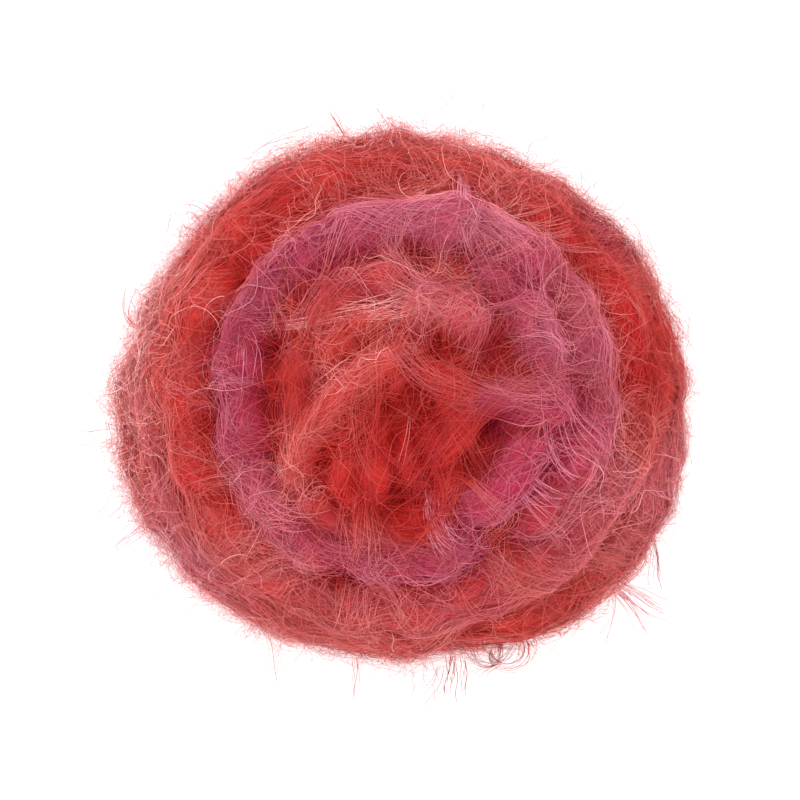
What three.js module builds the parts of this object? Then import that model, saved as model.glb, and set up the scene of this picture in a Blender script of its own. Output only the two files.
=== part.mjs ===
// A ball of thick brushed knitting yarn, machine wound with no core tube and standing on one end.
// Millimetres, +Z up. The origin is where the winding axis meets the surface that the ball stands on.
// One long strand makes the ball, so it is one solid: the packed middle with its outer turns in relief.

import * as THREE from "three";

// The packed middle. The turns lie half sunk in it and bring the ball to about 108 by 101 by 75.
const packed = {
  radius: 44.3, // from the axis to the middle's widest place
  halfHeight: 33.8,
  centreHeight: 37, // of the middle's centre over the surface
  squareness: 2.5, // 2 is an ellipse, and more is a squarer shoulder
};

// The outline seen from above isn't round: each row adds size * cos(lobes * angle + phase).
const outline = [
  { lobes: 1, size: 2.1, phaseDeg: 58 },
  { lobes: 2, size: 1.9, phaseDeg: 4 },
  { lobes: 3, size: 1.1, phaseDeg: 84 },
  { lobes: 4, size: 0.5, phaseDeg: 232 },
  { lobes: 5, size: 0.4, phaseDeg: 190 },
];

// The hollow in the upper end, where the ball's first turns are.
const hollow = { x: 2, y: -9, radius: 19, depth: 6 };

const strand = {
  rise: 0.9, // half the strand's height over half its width
  roundness: 0.7, // of its upper side: 0.5 is an ellipse, and 1 a parabola
  step: 2.5, // between points along a turn
  dipLength: 9, // over which an end dives between its neighbours
};

// The brushed pile stands this far over the strands, and fills the dips between them that are deeper than
// the felting under the mean surface.
const pile = { height: 2.4, felting: 1.1 };

// Loops round the side, the lower ones laid first. Each lies over its neighbour for half the way round.
const sideTurns = {
  count: 6,
  lowestDeg: -34, // latitude of the lowest loop
  highestDeg: 13,
  tiltDeg: 8,
  phaseStepDeg: 47,
  width: 12,
  sway: 0.9, // how far a loop works in and out on its way round
};

// The last loops laid on the side, which cross the others.
const crossings = { count: 4, tiltDeg: 22, latitudeDeg: -8, phaseStepDeg: 105, width: 11, lift: 1.2 };

// Arcs round the lower end, in rings about the axis.
const lowerRings = [
  { radius: 39, arcs: 3, startDeg: 15, width: 11.5 },
  { radius: 30, arcs: 3, startDeg: 75, width: 11 },
  { radius: 21, arcs: 2, startDeg: 40, width: 10.5 },
  { radius: 9.5, arcs: 2, startDeg: 110, width: 11 },
  { radius: 2, arcs: 1, startDeg: 0, width: 11 },
];
const lowerArcSweepDeg = 150;

// Arcs of yarn on the upper end, from the first laid to the last. Each runs about a centre of its own, from
// one angle to another (0 is +X, 90 is +Y), through three radii.
const upperColumns =
  ["name", "x", "y", "fromDeg", "toDeg", "fromRadius", "midRadius", "toRadius", "width", "lift"];
const upperRows = [
  ["shoulder top left", 0, 0, 186, 96, 47.0, 44.5, 44.0, 11.5, 0.4],
  ["shoulder top", 0, 0, 128, 44, 45.0, 45.0, 45.0, 11.0, 0.5],
  ["shoulder right", 0, 0, 62, -24, 45.5, 46.5, 47.5, 10.5, 0.5],
  ["shoulder low right", 0, 0, -12, -70, 47.0, 45.5, 43.5, 12.0, 0.4],
  ["shoulder low", 0, 0, -46, -112, 43.5, 44.0, 44.5, 12.5, 0.3],
  ["shoulder low left", 0, 0, -98, -158, 44.5, 45.0, 46.0, 12.0, 0.2],
  ["shoulder left", 0, 0, 212, 138, 44.0, 42.5, 42.0, 10.5, 1.2],
  ["red outside the ring", 0, 0, 206, 112, 38.5, 38.0, 39.5, 8.0, -0.6],
  ["red below the ring", 0, 0, 196, 236, 40.0, 40.0, 40.0, 8.5, -0.6],
  ["ring right", 0, 0, 42, -16, 38.5, 38.5, 39.5, 10.0, 0.3],
  ["ring low right", 0, 0, 4, -54, 39.5, 38.0, 37.0, 10.0, 0.1],
  ["ring bottom", 0, 0, -124, -58, 34.5, 34.0, 33.5, 9.5, -0.4],
  ["ring low left", 0, 0, 196, 254, 32.5, 34.5, 35.0, 9.5, -0.4],
  ["ring left", 0, 0, 212, 124, 33.5, 32.6, 35.0, 9.5, 0.0],
  ["ring top", 0, 0, 138, 62, 34.0, 33.8, 35.5, 11.0, 0.4],
  ["ring top right", 0, 0, 84, 30, 36.0, 37.5, 37.5, 12.0, 1.0],
  ["inner right", 0, 0, 62, -20, 30.5, 30.0, 31.0, 9.0, 0.4],
  ["inner low right", 0, 0, -8, -66, 30.0, 29.0, 27.5, 9.5, 0.3],
  ["inner low", 0, 0, -62, -140, 27.0, 29.0, 28.0, 8.0, -0.8],
  ["inner left", 0, 0, 226, 140, 20.5, 20.5, 21.5, 8.5, -1.9],
  ["inner top", 0, 0, 154, 72, 22.0, 23.0, 22.5, 10.5, -1.2],
  ["inner top right", 0, 0, 92, 26, 17.0, 20.5, 20.5, 9.5, 0.8],
  ["under the inner top", 0, 0, 170, 84, 16.0, 16.0, 15.0, 9.0, -0.6],
  ["puff right", 29, -12, 150, 40, 9.0, 8.0, 8.5, 9.5, 1.0],
  ["lobe right", 25, -19, 140, 62, 19.0, 18.5, 20.0, 8.5, 0.8],
  ["core bottom", 3, -14, 232, 318, 13.0, 13.0, 13.5, 9.0, -0.8],
  ["core middle", 20, -12, 156, 208, 19.0, 18.0, 19.0, 8.5, 0.0],
  ["core inner right", 18, -9, 146, 216, 12.0, 11.5, 13.0, 8.5, 0.3],
  ["core puff", 6, 0, 124, 206, 8.5, 7.5, 8.0, 8.0, 0.8],
  ["core right", 3, -5, 104, -78, 10.5, 10.0, 9.5, 9.0, 0.9],
  ["core left", 14.2, -13, 150, 210, 20.5, 19.6, 19.5, 8.0, 1.1],
  ["core far left", 5.5, -14, 142, 214, 18.0, 17.6, 17.0, 7.5, 0.9],
  ["core low right", 13, -22, 60, 210, 4.5, 4.5, 4.5, 7.0, 0.8],
  ["crossing", 14, -22, 104, 174, 34.0, 34.0, 36.5, 8.0, 1.2],
];

const grid = { around: 72, down: 67 }; // faces of the surface, from the upper end to the lower

// Brushed yarn has no sharp creases, so each height moves this share of the way to its neighbours' mean.
// The mean surface takes more passes of it.
const softening = { share: 0.45, passes: 1, meanPasses: 8 };
const yarn = { name: "brushed yarn", color: 0xc2484c, roughness: 0.95, metalness: 0 };

const centre = new THREE.Vector3(0, 0, packed.centreHeight);
const turnOf = (degrees) => THREE.MathUtils.degToRad(degrees);

// How much further out than packed.radius the outline lies at an angle about the axis.
const outlineAt = (angle) =>
  outline.reduce((sum, o) => sum + o.size * Math.cos(o.lobes * angle + turnOf(o.phaseDeg)), 0);

// Distance from the centre to the packed middle's surface along a unit direction.
function packedRadius(direction) {
  const outwards = Math.hypot(direction.x, direction.y);
  const widest = packed.radius + outlineAt(Math.atan2(direction.y, direction.x)) * outwards;
  const n = packed.squareness;
  const round = Math.pow(
    Math.pow(outwards / widest, n) + Math.pow(Math.abs(direction.z) / packed.halfHeight, n),
    -1 / n,
  );
  if (direction.z <= 0) return round;
  const off = Math.hypot(direction.x * round - hollow.x, direction.y * round - hollow.y);
  return round - hollow.depth * Math.exp(-((off / hollow.radius) ** 2));
}

// The unit direction from the centre to the place over x, y that lies this far above the packed middle.
// Each pass goes half the way from the last direction to a nearer one.
const directionPasses = 16;
function upperDirection(x, y, above) {
  const direction = new THREE.Vector3(x, y, packed.halfHeight).normalize();
  for (let pass = 0; pass < directionPasses; pass++) {
    const square = (packedRadius(direction) + above) ** 2 - x * x - y * y;
    const nearer = new THREE.Vector3(x, y, Math.sqrt(Math.max(square, 1))).normalize();
    direction.add(nearer).normalize();
  }
  return direction;
}

// A value that runs through three others as t goes from 0 to 1.
const through = (from, mid, to, t) =>
  from * (1 - t) * (1 - 2 * t) + mid * 4 * t * (1 - t) + to * t * (2 * t - 1);

// A turn is its directions from the centre, with its width and how far it is lifted at each.
function upperTurn(row) {
  const turn = Object.fromEntries(upperColumns.map((column, i) => [column, row[i]]));
  const sweep = turnOf(turn.toDeg - turn.fromDeg);
  const length = Math.abs(sweep) * turn.midRadius;
  const steps = Math.ceil(length / strand.step);
  const points = [];
  for (let i = 0; i <= steps; i++) {
    const t = i / steps;
    const angle = turnOf(turn.fromDeg) + sweep * t;
    const radius = through(turn.fromRadius, turn.midRadius, turn.toRadius, t);
    const fromEnd = Math.min(t, 1 - t) * length;
    const dip = Math.max(0, 1 - fromEnd / strand.dipLength) ** 2;
    const x = turn.x + radius * Math.cos(angle);
    const y = turn.y + radius * Math.sin(angle);
    const direction = upperDirection(x, y, turn.lift + turn.width / 2);
    points.push({ direction, lift: turn.lift - (dip * turn.width) / 2 });
  }
  return { points, halfWidth: turn.width / 2 };
}

function directionAt(latitude, angle) {
  const flat = Math.cos(latitude);
  return new THREE.Vector3(flat * Math.cos(angle), flat * Math.sin(angle), Math.sin(latitude));
}

function loop(latitudeDeg, tiltDeg, phaseDeg, width, liftAt) {
  const steps = Math.ceil((2 * Math.PI * packed.radius) / strand.step);
  const points = [];
  for (let k = 0; k < steps; k++) {
    const angle = (2 * Math.PI * k) / steps;
    const latitude = turnOf(latitudeDeg + tiltDeg * Math.sin(angle + turnOf(phaseDeg)));
    points.push({ direction: directionAt(latitude, angle), lift: liftAt(angle) });
  }
  return { points, halfWidth: width / 2 };
}

function sideTurn(i) {
  const s = sideTurns;
  const latitude = s.lowestDeg + ((s.highestDeg - s.lowestDeg) * i) / (s.count - 1);
  const liftAt = (angle) => s.sway * Math.sin(angle + turnOf(i * s.phaseStepDeg * 2));
  return loop(latitude, s.tiltDeg, i * s.phaseStepDeg, s.width, liftAt);
}

function crossing(i) {
  const c = crossings;
  return loop(c.latitudeDeg, c.tiltDeg, i * c.phaseStepDeg, c.width, () => c.lift);
}

function lowerTurn(ring, i) {
  const sweep = turnOf(lowerArcSweepDeg);
  const start = turnOf(ring.startDeg + (360 / ring.arcs) * i);
  const steps = Math.ceil((sweep * ring.radius) / strand.step);
  const points = [];
  for (let k = 0; k <= steps; k++) {
    const direction = upperDirection(
      ring.radius * Math.cos(start + (sweep * k) / steps),
      ring.radius * Math.sin(start + (sweep * k) / steps),
      ring.width / 2,
    );
    direction.z = -direction.z;
    points.push({ direction, lift: 0 });
  }
  return { points, halfWidth: ring.width / 2 };
}

function allTurns() {
  const turns = [];
  for (const ring of lowerRings) {
    for (let i = 0; i < ring.arcs; i++) turns.push(lowerTurn(ring, i));
  }
  for (let i = 0; i < sideTurns.count; i++) turns.push(sideTurn(i));
  for (let i = 0; i < crossings.count; i++) turns.push(crossing(i));
  for (const row of upperRows) turns.push(upperTurn(row));
  return turns;
}

// The index of the direction that is nearest to this one.
function nearest(directions, direction) {
  const { x, y, z } = direction;
  let best = 0;
  let most = -1;
  for (let i = 0; i < directions.length; i++) {
    const near = directions[i].x * x + directions[i].y * y + directions[i].z * z;
    if (near > most) {
      most = near;
      best = i;
    }
  }
  return best;
}

// Lays a turn on the packed middle, and raises the surface to the turn's upper side.
function layTurn(directions, surface, turn) {
  const halfHeight = turn.halfWidth * strand.rise;
  const along = turn.points.map((p) => p.direction);
  const levels = turn.points.map((p) => packedRadius(p.direction) + p.lift - halfHeight);
  directions.forEach((direction, v) => {
    const k = nearest(along, direction);
    const aside = (direction.angleTo(along[k]) * surface[v]) / turn.halfWidth;
    if (aside >= 1) return;
    const bulge = 2 * halfHeight * Math.pow(1 - aside * aside, strand.roundness);
    surface[v] = Math.max(surface[v], levels[k] + bulge);
  });
}

// The directions of the surface's points: the upper pole, then ring after ring, then the lower pole.
function gridDirections() {
  const directions = [new THREE.Vector3(0, 0, 1)];
  for (let row = 1; row < grid.down; row++) {
    const latitude = Math.PI / 2 - (Math.PI * row) / grid.down;
    for (let k = 0; k < grid.around; k++) {
      directions.push(directionAt(latitude, (2 * Math.PI * k) / grid.around));
    }
  }
  directions.push(new THREE.Vector3(0, 0, -1));
  return directions;
}

// Where a point of a ring is in the list. Rings 0 and grid.down are the poles.
function gridIndex(row, k) {
  if (row <= 0) return 0;
  const index = 1 + (row - 1) * grid.around + ((k + grid.around) % grid.around);
  return Math.min(index, 1 + (grid.down - 1) * grid.around);
}

function gridFaces() {
  const faces = [];
  for (let row = 0; row < grid.down; row++) {
    for (let k = 0; k < grid.around; k++) {
      const upper = [gridIndex(row, k), gridIndex(row, k + 1)];
      const lower = [gridIndex(row + 1, k), gridIndex(row + 1, k + 1)];
      if (row + 1 < grid.down) faces.push(upper[0], lower[0], lower[1]);
      if (row > 0) faces.push(upper[0], row + 1 < grid.down ? lower[1] : lower[0], upper[1]);
    }
  }
  return faces;
}

// One pass of the softening. A pole takes the mean of the ring beside it.
function softened(surface) {
  const soft = surface.slice();
  for (let row = 1; row < grid.down; row++) {
    for (let k = 0; k < grid.around; k++) {
      const upDown = surface[gridIndex(row - 1, k)] + surface[gridIndex(row + 1, k)];
      const mean = (upDown + surface[gridIndex(row, k - 1)] + surface[gridIndex(row, k + 1)]) / 4;
      soft[gridIndex(row, k)] = THREE.MathUtils.lerp(surface[gridIndex(row, k)], mean, softening.share);
    }
  }
  for (const row of [1, grid.down - 1]) {
    const pole = gridIndex(row === 1 ? 0 : grid.down, 0);
    soft[pole] = 0;
    for (let k = 0; k < grid.around; k++) soft[pole] += surface[gridIndex(row, k)] / grid.around;
  }
  return soft;
}

function softenedTimes(surface, passes) {
  let soft = surface;
  for (let pass = 0; pass < passes; pass++) soft = softened(soft);
  return soft;
}

// The wound surface with its dips partly filled, and the brushed pile over it.
function brushed(surface) {
  const mean = softenedTimes(surface, softening.meanPasses);
  const filled = surface.map((height, i) => Math.max(height, mean[i] - pile.felting) + pile.height);
  return softenedTimes(filled, softening.passes);
}

function yarnBall() {
  const directions = gridDirections();
  const surface = directions.map(packedRadius);
  for (const turn of allTurns()) layTurn(directions, surface, turn);
  const heights = brushed(surface);
  const positions = directions.flatMap((direction, i) => {
    const floor = direction.z < 0 ? centre.z / -direction.z : Infinity;
    const point = direction.clone().multiplyScalar(Math.min(heights[i], floor)).add(centre);
    return [point.x, point.y, heights[i] >= floor ? 0 : point.z]; // pressed flat where the ball stands
  });
  const geometry = new THREE.BufferGeometry();
  geometry.setAttribute("position", new THREE.Float32BufferAttribute(positions, 3));
  geometry.setIndex(gridFaces());
  geometry.computeVertexNormals();
  const ball = new THREE.Mesh(geometry, new THREE.MeshStandardMaterial(yarn));
  ball.name = "yarn_ball";
  return ball;
}

const part = new THREE.Group();
part.add(yarnBall());

export default part;
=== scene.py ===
import math

import bpy
import numpy as np
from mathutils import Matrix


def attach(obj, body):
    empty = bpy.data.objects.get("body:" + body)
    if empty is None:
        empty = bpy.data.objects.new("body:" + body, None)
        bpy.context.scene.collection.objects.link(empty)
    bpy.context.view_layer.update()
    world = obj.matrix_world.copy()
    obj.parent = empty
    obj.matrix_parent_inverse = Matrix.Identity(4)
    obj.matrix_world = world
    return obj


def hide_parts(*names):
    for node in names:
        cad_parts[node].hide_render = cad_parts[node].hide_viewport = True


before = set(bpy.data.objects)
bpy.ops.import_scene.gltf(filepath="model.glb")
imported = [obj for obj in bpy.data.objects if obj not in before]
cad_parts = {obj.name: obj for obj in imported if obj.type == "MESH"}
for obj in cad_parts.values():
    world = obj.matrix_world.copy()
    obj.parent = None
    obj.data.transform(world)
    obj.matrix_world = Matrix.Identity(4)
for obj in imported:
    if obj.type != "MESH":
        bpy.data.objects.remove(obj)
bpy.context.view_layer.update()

# A ball of thick brushed knitting yarn, wound by machine with no core tube, seen from above its upper end.
# Lengths are in millimetres until a mesh is made. The ball stands on z = 0 with its winding axis on +Z.

millimetre = 0.001
draw = np.random.default_rng(11)


# Names, colours and small helpers

def linear(hexColour):
    channels = [int(hexColour[i:i + 2], 16) / 255 for i in (1, 3, 5)]
    return [c / 12.92 if c <= 0.04045 else ((c + 0.055) / 1.055) ** 2.4 for c in channels] + [1.0]


def addNode(tree, kind, settings=None, sockets=None, **inputs):
    # settings are the node's own properties; the rest are values or other nodes' outputs, by the socket's
    # number or by its name
    node = tree.nodes.new(kind)
    for name, value in (settings or {}).items():
        setattr(node, name, value)
    for name, value in {**(sockets or {}), **inputs}.items():
        socket = node.inputs[name if isinstance(name, int) else name.replace("_", " ")]
        if isinstance(value, bpy.types.NodeSocket):
            tree.links.new(value, socket)
        else:
            socket.default_value = value
    return node


def colourRamp(tree, factor, stops):
    ramp = addNode(tree, "ShaderNodeValToRGB", Fac=factor)
    elements = ramp.color_ramp.elements
    while len(elements) < len(stops):
        elements.new(0.5)
    for element, (position, colour) in zip(elements, stops):
        element.position = position
        element.color = linear(colour)
    return ramp.outputs["Color"]


def mixColours(tree, blend, factor, first, second):
    settings = {"data_type": "RGBA", "blend_type": blend}
    return addNode(tree, "ShaderNodeMix", settings, {0: factor, 6: first, 7: second}).outputs[2]


def newMaterial(name, **inputs):
    material = bpy.data.materials.new(name)
    material.use_nodes = True
    shader = material.node_tree.nodes["Principled BSDF"]
    for socket, value in inputs.items():
        shader.inputs[socket.replace("_", " ")].default_value = value
    return material, material.node_tree, shader


def colourBy(tree, shader, colour):
    # the faint gloss and sheen of dyed hair take the hair's own colour
    for socket in ("Base Color", "Specular Tint", "Sheen Tint"):
        tree.links.new(colour, shader.inputs[socket])


def unit(vectors):
    return vectors / np.maximum(np.linalg.norm(vectors, axis=-1, keepdims=True), 1e-9)


def smoothStep(low, high, value):
    t = np.clip((value - low) / (high - low), 0, 1)
    return t * t * (3 - 2 * t)


def direction(latitude, longitude):
    return np.stack([np.cos(latitude) * np.cos(longitude), np.cos(latitude) * np.sin(longitude),
                     np.sin(latitude) + 0 * longitude], axis=-1)


# The dye: one number along the yarn, from red through coral and rose to magenta

deepDye = [
    (0.0, "#a01a1b"), (0.18, "#b22b25"), (0.35, "#ae3634"),
    (0.65, "#9e2c3a"), (0.85, "#9c2a42"), (1.0, "#94263e"),
]
# the pale colours of the fibres: partly their own paler tint and partly painted sheen
paleDyeAndSheen = [
    (0.0, "#ce5858"), (0.18, "#d86e6a"), (0.35, "#e08c87"),
    (0.65, "#da8590"), (0.85, "#d87f96"), (1.0, "#ca748b"),
]
paintedGrooveShade = "#a83c43"  # painted shade: what the dips between strands take from a colour, with no light from the sides
plainPaleness = 0.3  # of a fibre with the deep dye; below it lie the dips, darkened with painted shade, and above it the paler fibres
palestTipFrom = 0.75  # from here on a fibre turns to the colour that follows
# the palest tips: partly their own colour and partly painted light coming through them
palestTipAndGlow = "#f0bcbb"
keratin = 1.55  # the refractive index of hair and wool


# The wound ball, with the same sizes as the part

winding = {
    "radius": 44.3, "halfHeight": 33.8, "centreHeight": 37.0, "squareness": 2.5,
    "rise": 0.9,  # half the strand's height over half its width
    "felting": 1.1,  # deeper dips than this are filled by the raised pile
    "shoulderFelting": 0.4,  # and at the upper end's shoulder more so
    "creviceFelting": 3.5, "creviceDepth": 1.3,  # but not where a crevice stays open
    "step": 1.2,  # between points along a turn
    "dipLength": 9.0,  # over which an end dives between its neighbours
    "puff": 0.09,  # how much a strand's width comes and goes
    "puffLength": 17.0,  # along the strand from one puff to the next
    "puffShares": (0.6, 0.4),  # of that wave, and of a second one that breaks it up
    "secondPuff": 4.9, "heaveWave": 3.7,  # radians of the second wave and of the heave in one puffLength
    "heave": 0.42,  # how far a strand works in and out
    "roundness": 0.7,  # of a strand's upper side: 0.5 is an ellipse, 1 a parabola
    "merge": 1.4,  # strands that touch run into each other over this height
    "lump": 0.4, "lumpLength": (7, 13),  # soft lumps all over: their height, and from one to the next
    "tuft": 0.22, "tuftLength": (3, 5),  # and small tufts on them
    "mottle": 0.05,  # how much the dye comes and goes
    "bareDye": 0.25,  # where no turn lies
    "grainStep": 20.0,  # sets each turn's grain apart from the next one's
}
outline = [  # lobes, size, phase in degrees
    (1, 2.1, 58), (2, 1.9, 4), (3, 1.1, 84), (4, 0.5, 232), (5, 0.4, 190),
]
hollow = {"x": 2.0, "y": -9.0, "radius": 19.0, "depth": 6.0}
sideTurns = {"count": 6, "lowest": -34, "highest": 13, "tilt": 8, "phaseStep": 47, "width": 12, "sway": 0.9}
crossings = {"count": 4, "tilt": 22, "latitude": -8, "phaseStep": 105, "width": 11, "lift": 1.2}
lowerRings = [  # radius, arcs, start, width
    (39, 3, 15, 11.5), (30, 3, 75, 11), (21, 2, 40, 10.5), (9.5, 2, 110, 11), (2, 1, 0, 11),
]
lowerArcSweep = 150
lowerDyes = (0.15, 0.55, 0.95)  # of a ring's first arc, and so on
# The side's dye, less towards the right and the top, and more on each of the lowest loops than on the next
sideDyes = {"mean": 0.22, "rightLess": 0.16, "topLess": 0.08, "lowLoopMore": 0.16, "lowLoops": 3}
sideStreaks = [  # name, angle, spread, dye: where the side turns are rosier
    ("right, low", -18, 12, 0.45),
    ("upper right", 36, 9, 0.35),
    ("lower left", 218, 14, 0.25),
]

# Arcs of yarn on the upper end, from the first laid to the last, each about a centre of its own
upperRows = [
    # name, x, y, from, to, fromRadius, midRadius, toRadius, width, lift, fromDye, toDye
    ("shoulder top left", 0, 0, 186, 96, 47.0, 44.5, 44.0, 11.5, 0.4, 0.24, 0.10),
    ("shoulder top", 0, 0, 128, 44, 45.0, 45.0, 45.0, 11.0, 0.5, 0.08, 0.10),
    ("shoulder right", 0, 0, 62, -24, 45.5, 46.5, 47.5, 10.5, 0.5, 0.04, 0.02),
    ("shoulder low right", 0, 0, -12, -70, 47.0, 45.5, 43.5, 12.0, 0.4, 0.58, 0.48),
    ("shoulder low", 0, 0, -46, -112, 43.5, 44.0, 44.5, 12.5, 0.3, 0.42, 0.46),
    ("shoulder low left", 0, 0, -98, -158, 44.5, 45.0, 46.0, 12.0, 0.2, 0.45, 0.28),
    ("shoulder left", 0, 0, 212, 138, 44.0, 42.5, 42.0, 10.5, 1.2, 0.22, 0.16),
    ("red outside the ring", 0, 0, 206, 112, 38.5, 38.0, 39.5, 8.0, -0.6, 0.06, 0.03),
    ("red below the ring", 0, 0, 196, 236, 40.0, 40.0, 40.0, 8.5, -0.6, 0.10, 0.24),
    ("ring right", 0, 0, 42, -16, 38.5, 38.5, 39.5, 10.0, 0.3, 0.70, 0.74),
    ("ring low right", 0, 0, 4, -54, 39.5, 38.0, 37.0, 10.0, 0.1, 0.76, 0.62),
    ("ring bottom", 0, 0, -124, -58, 34.5, 34.0, 33.5, 9.5, -0.4, 0.84, 0.98),
    ("ring low left", 0, 0, 196, 254, 32.5, 34.5, 35.0, 9.5, -0.4, 0.90, 0.66),
    ("ring left", 0, 0, 212, 124, 33.5, 32.6, 35.0, 9.5, 0.0, 1.00, 0.92),
    ("ring top", 0, 0, 138, 62, 34.0, 33.8, 35.5, 11.0, 0.4, 0.92, 0.84),
    ("ring top right", 0, 0, 84, 30, 36.0, 37.5, 37.5, 12.0, 1.0, 0.84, 0.74),
    ("inner right", 0, 0, 62, -20, 30.5, 30.0, 31.0, 9.0, 0.4, 0.82, 0.86),
    ("inner low right", 0, 0, -8, -66, 30.0, 29.0, 27.5, 9.5, 0.3, 0.86, 0.95),
    ("inner low", 0, 0, -62, -140, 27.0, 29.0, 28.0, 8.0, -0.8, 0.80, 0.40),
    ("inner left", 0, 0, 226, 140, 20.5, 20.5, 21.5, 8.5, -1.9, 0.30, 0.30),
    ("inner top", 0, 0, 154, 72, 22.0, 23.0, 22.5, 10.5, -1.2, 0.42, 0.50),
    ("inner top right", 0, 0, 92, 26, 17.0, 20.5, 20.5, 9.5, 0.8, 0.54, 0.66),
    ("under the inner top", 0, 0, 170, 84, 16.0, 16.0, 15.0, 9.0, -0.6, 0.22, 0.26),
    ("puff right", 29, -12, 150, 40, 9.0, 8.0, 8.5, 9.5, 1.0, 0.80, 0.90),
    ("lobe right", 25, -19, 140, 62, 19.0, 18.5, 20.0, 8.5, 0.8, 0.80, 0.76),
    ("core bottom", 3, -14, 232, 318, 13.0, 13.0, 13.5, 9.0, -0.8, 0.00, 0.02),
    ("core middle", 20, -12, 156, 208, 19.0, 18.0, 19.0, 8.5, 0.0, 0.03, 0.00),
    ("core inner right", 18, -9, 146, 216, 12.0, 11.5, 13.0, 8.5, 0.3, 0.06, 0.02),
    ("core puff", 6, 0, 124, 206, 8.5, 7.5, 8.0, 8.0, 0.8, 0.04, 0.02),
    ("core right", 3, -5, 104, -78, 10.5, 10.0, 9.5, 9.0, 0.9, 0.10, 0.03),
    ("core left", 14.2, -13, 150, 210, 20.5, 19.6, 19.5, 8.0, 1.1, 0.06, 0.05),
    ("core far left", 5.5, -14, 142, 214, 18.0, 17.6, 17.0, 7.5, 0.9, 0.12, 0.08),
    ("core low right", 13, -22, 60, 210, 4.5, 4.5, 4.5, 7.0, 0.8, 0.10, 0.05),
    ("crossing", 14, -22, 104, 174, 34.0, 34.0, 36.5, 8.0, 1.2, 0.34, 0.28),
]

# Where a dip on the upper end stays open down to its bottom
crevices = [
    # name, x, y, radius, amount
    ("left of the inner coil, upper", -25.0, 8.0, 3.8, 0.9),
    ("left of the inner coil", -25.2, -1.0, 3.8, 1.0),
    ("left of the inner coil, lower", -25.6, -9.5, 3.8, 1.0),
    ("outside the ring, upper", -30.0, 24.0, 4.5, 0.6),
    ("outside the ring, left", -37.5, 10.0, 5.0, 0.7),
    ("outside the ring, lower left", -37.0, -6.0, 5.0, 0.7),
    ("outside the ring, low", -34.0, -21.0, 4.5, 0.4),
    ("right of the core, upper", 16.2, 8.6, 3.6, 1.0),
    ("right of the core", 16.6, -4.6, 3.2, 0.9),
    ("above the core", 6.0, 8.4, 3.4, 0.6),
    ("inside the ring, top", 4.0, 26.0, 4.0, 0.5),
    ("inside the ring, top right", 14.5, 24.2, 4.2, 0.9),
    ("inside the ring, right", 20.0, 19.5, 4.0, 0.8),
    ("left of the core", -15.6, -12.0, 3.0, 0.5),
    ("left of the core, low", -14.0, -23.0, 4.0, 0.7),
    ("between the core's strands", -9.2, -16.5, 2.2, 0.7),
    ("between the core's strands, right", -1.5, -18.5, 2.4, 0.5),
    ("below the core", 1.0, -25.0, 4.5, 0.5),
    ("bottom of the ring", -10.5, -32.5, 4.0, 0.6),
    ("right, between the strands", 25.0, 7.0, 2.6, 0.3),
    ("on the inner coil, left", -20.0, 1.0, 4.5, 0.5),
    ("lower left of the ring", -37.0, -24.0, 5.0, 0.5),
    ("right, lower", 28.0, -20.0, 3.5, 0.4),
]


def spots(rows, x, y):
    total = np.zeros_like(x)
    for _, spotX, spotY, radius, amount in rows:
        total += amount * np.exp(-((x - spotX) ** 2 + (y - spotY) ** 2) / radius ** 2)
    return total


def packedRadius(d):
    outwards = np.hypot(d[..., 0], d[..., 1])
    angle = np.arctan2(d[..., 1], d[..., 0])
    lobed = sum(size * np.cos(lobes * angle + math.radians(phase)) for lobes, size, phase in outline)
    widest = winding["radius"] + lobed * outwards
    n = winding["squareness"]
    radius = ((outwards / widest) ** n + (np.abs(d[..., 2]) / winding["halfHeight"]) ** n) ** (-1 / n)
    off = np.hypot(d[..., 0] * radius - hollow["x"], d[..., 1] * radius - hollow["y"])
    dip = hollow["depth"] * np.exp(-((off / hollow["radius"]) ** 2))
    return np.where(d[..., 2] > 0, radius - dip, radius)


towardsPasses = 16  # each goes half the way to a nearer direction


def towards(x, y, radiusAt):
    # the direction from the ball's centre to the place over x, y on a surface given by its radius
    d = unit(np.stack([x, y, np.full_like(x, winding["halfHeight"])], axis=-1))
    for _ in range(towardsPasses):
        z = np.sqrt(np.maximum(radiusAt(d) ** 2 - x ** 2 - y ** 2, 1))
        d = unit(d + unit(np.stack([x, y, z], axis=-1)))
    return d


def through(start, middle, end, t):
    return start * (1 - t) * (1 - 2 * t) + middle * 4 * t * (1 - t) + end * t * (2 * t - 1)


def makeTurn(d, lift, width, dye):
    # gives a turn its puffs, and its heading at every point
    length = np.cumsum(np.linalg.norm(np.diff(d, axis=0, prepend=d[:1]), axis=1)) * winding["radius"]
    phase = draw.uniform(0, 2 * math.pi, 3)
    wave = np.sin(length * 2 * math.pi / winding["puffLength"] + phase[0])
    second = np.sin(length * winding["secondPuff"] / winding["puffLength"] + phase[1])
    wave = winding["puffShares"][0] * wave + winding["puffShares"][1] * second
    halfWidth = width / 2 * (1 + winding["puff"] * wave)
    heave = winding["heave"] * np.sin(length * winding["heaveWave"] / winding["puffLength"] + phase[2])
    level = packedRadius(d) + lift + heave - halfWidth * winding["rise"]
    heading = unit(np.gradient(d, axis=0))
    return {"d": d, "heading": heading, "level": level, "halfWidth": halfWidth, "dye": dye, "length": length}


def upperTurn(row):
    _, x, y, start, end, fromRadius, midRadius, toRadius, width, lift, fromDye, toDye = row
    sweep = math.radians(end - start)
    length = abs(sweep) * midRadius
    t = np.linspace(0, 1, math.ceil(length / winding["step"]) + 1)
    angle = math.radians(start) + sweep * t
    radius = through(fromRadius, midRadius, toRadius, t)
    crest = lift + width / 2
    d = towards(x + radius * np.cos(angle), y + radius * np.sin(angle), lambda d: packedRadius(d) + crest)
    dip = np.maximum(0, 1 - np.minimum(t, 1 - t) * length / winding["dipLength"]) ** 2
    return makeTurn(d, lift - dip * width / 2, width, fromDye + (toDye - fromDye) * t)


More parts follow.
